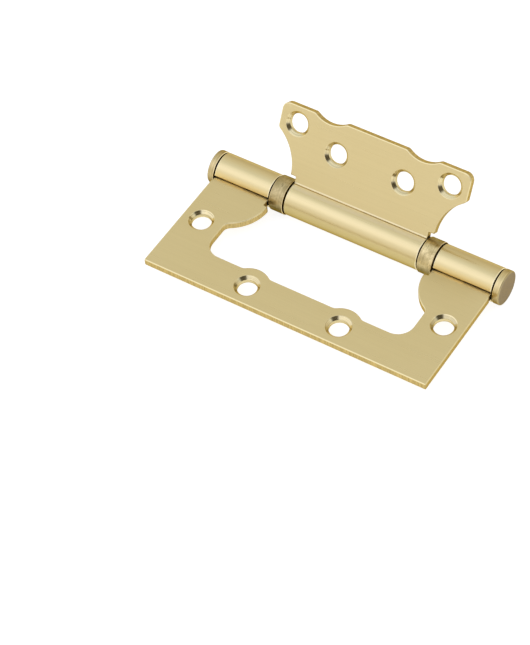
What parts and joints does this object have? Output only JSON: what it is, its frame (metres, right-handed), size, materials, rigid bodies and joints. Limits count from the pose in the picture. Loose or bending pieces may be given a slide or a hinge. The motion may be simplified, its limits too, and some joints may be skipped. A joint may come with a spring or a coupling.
{
  "type": "surface-mounted hinge",
  "caption": "Surface-mounted ball-bearing hinge in satin brass: the smaller inner leaf folds flush into a shaped cut-out in the outer leaf, with a rolled barrel and countersunk screw holes.",
  "frame": {"origin": "on the pin's axis, half way along the hinge", "axes": "+X along the pin, -Y from the pin towards the outer leaf's long edge, +Z out of the outer leaf's countersunk face"},
  "size_m": [0.1048, 0.0601, 0.0328],
  "materials": {
    "leaf_brass": "satin, finely brushed",
    "cap_brass": "turned, duller satin",
    "shell_bronze": "dull bronze with dark specks",
    "pin_steel": "plain ground steel",
    "race_steel": "plain turned steel",
    "ball_steel": "polished steel"
  },
  "bodies": {
    "frame_side": {"outer_leaf": "leaf_brass", "hinge_pin": "pin_steel", "left_cap": "cap_brass", "right_cap": "cap_brass", "left_bearing_shell": "shell_bronze", "right_bearing_shell": "shell_bronze", "left_fixed_race": "race_steel", "right_fixed_race": "race_steel"},
    "door_side": {"inner_leaf": "leaf_brass", "left_turning_race": "race_steel", "right_turning_race": "race_steel"},
    "left_balls": {"left_ball_1": "ball_steel", "left_ball_2": "ball_steel", "left_ball_3": "ball_steel", "left_ball_4": "ball_steel", "left_ball_5": "ball_steel", "left_ball_6": "ball_steel", "left_ball_7": "ball_steel", "left_ball_8": "ball_steel", "left_ball_9": "ball_steel", "left_ball_10": "ball_steel", "left_ball_11": "ball_steel", "left_ball_12": "ball_steel"},
    "right_balls": {"right_ball_1": "ball_steel", "right_ball_2": "ball_steel", "right_ball_3": "ball_steel", "right_ball_4": "ball_steel", "right_ball_5": "ball_steel", "right_ball_6": "ball_steel", "right_ball_7": "ball_steel", "right_ball_8": "ball_steel", "right_ball_9": "ball_steel", "right_ball_10": "ball_steel", "right_ball_11": "ball_steel", "right_ball_12": "ball_steel"}
  },
  "joints": [
    {"name": "leaf_swing", "type": "hinge", "parent": "frame_side", "child": "door_side", "pos_m": [0, 0, 0], "axis": [-1, 0, 0], "range_deg": [-119, 61]},
    {"name": "left_ball_orbit", "type": "hinge", "parent": "frame_side", "child": "left_balls", "pos_m": [0, 0, 0], "axis": [-1, 0, 0], "range_deg": [-59.5, 30.5]},
    {"name": "right_ball_orbit", "type": "hinge", "parent": "frame_side", "child": "right_balls", "pos_m": [0, 0, 0], "axis": [-1, 0, 0], "range_deg": [-59.5, 30.5]}
  ],
  "couplings": [
    {"joint": "left_ball_orbit", "follows": "leaf_swing", "ratio": 0.5},
    {"joint": "right_ball_orbit", "follows": "leaf_swing", "ratio": 0.5}
  ]
}
